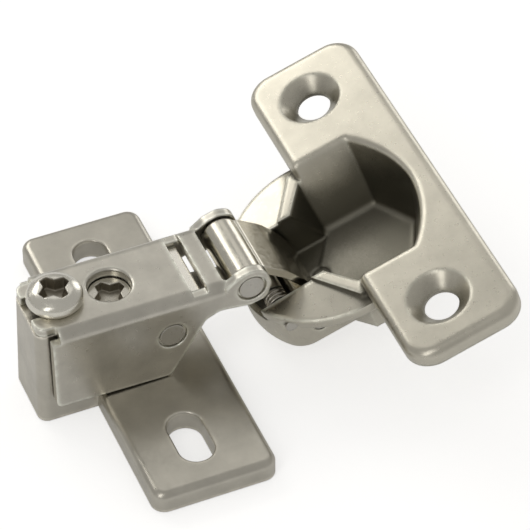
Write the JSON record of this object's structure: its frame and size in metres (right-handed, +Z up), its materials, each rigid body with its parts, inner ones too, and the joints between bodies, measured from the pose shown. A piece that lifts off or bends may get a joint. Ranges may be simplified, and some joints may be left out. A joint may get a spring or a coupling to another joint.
{
  "type": "concealed cup hinge",
  "caption": "Small concealed cabinet hinge with a winged cup, an adjustable channel arm, crossed links and a slotted mounting plate.",
  "frame": {"origin": "underside of the base plate, midway between its two slots", "axes": "+X from the base plate towards the cup, +Y along the plate and the hinge's pivot pins, +Z up from the plate"},
  "size_m": [0.0539, 0.0526, 0.0195],
  "materials": {
    "cast_nickel": "satin nickel plating on a zinc casting",
    "sheet_nickel": "nickel plated steel sheet",
    "clamp_bright": "bright plated steel",
    "adjusting_bright": "bright plated steel",
    "nose_pin_steel": "ground steel, plated",
    "arm_pin_steel": "ground steel, plated",
    "outer_link_nickel": "bright nickel plated steel sheet",
    "inner_link_nickel": "nickel plated steel sheet",
    "cup_nickel": "satin nickel plating on a zinc casting",
    "cup_pin_steel": "ground steel, plated",
    "inner_pin_steel": "ground steel, plated",
    "spring_wire": "drawn spring wire"
  },
  "bodies": {
    "mount": {"base_plate": "cast_nickel", "arm": "sheet_nickel", "nose_pin": "nose_pin_steel", "arm_pin": "arm_pin_steel"},
    "clamp_screw": {"clamp_screw": "clamp_bright"},
    "adjusting_screw": {"adjusting_screw": "adjusting_bright"},
    "outer_link": {"outer_link": "outer_link_nickel"},
    "cup": {"cup": "cup_nickel", "cup_pin_outer": "cup_pin_steel", "cup_pin_inner": "inner_pin_steel", "spring": "spring_wire"},
    "inner_link": {"inner_link": "inner_link_nickel"}
  },
  "joints": [
    {"name": "outer_link_swing", "type": "hinge", "parent": "mount", "child": "outer_link", "pos_m": [0.0123, 0, 0.0135], "axis": [0, -1, 0], "range_deg": [-18.7, 6.1]},
    {"name": "cup_swing", "type": "hinge", "parent": "outer_link", "child": "cup", "pos_m": [0.02017, 0, 0.00685], "axis": [0, -1, 0], "range_deg": [-29.2, 90.4]},
    {"name": "inner_link_swing", "type": "hinge", "parent": "cup", "child": "inner_link", "pos_m": [0.01635, 0, 0.00791], "axis": [0, -1, 0], "range_deg": [-97.4, 31.5]},
    {"name": "clamp_screw_turn", "type": "hinge", "parent": "mount", "child": "clamp_screw", "pos_m": [-0.0106, 0, 0.01504], "axis": [0, 0, 1], "range_deg": [0, 360]},
    {"name": "adjusting_screw_turn", "type": "hinge", "parent": "mount", "child": "adjusting_screw", "pos_m": [-0.00375, 0, 0.0118], "axis": [0, 0, 1], "range_deg": [-360, 360]}
  ],
  "couplings": [
    {"joint": "outer_link_swing", "follows": "cup_swing", "ratio": -0.20635},
    {"joint": "inner_link_swing", "follows": "cup_swing", "ratio": -1.0754}
  ]
}
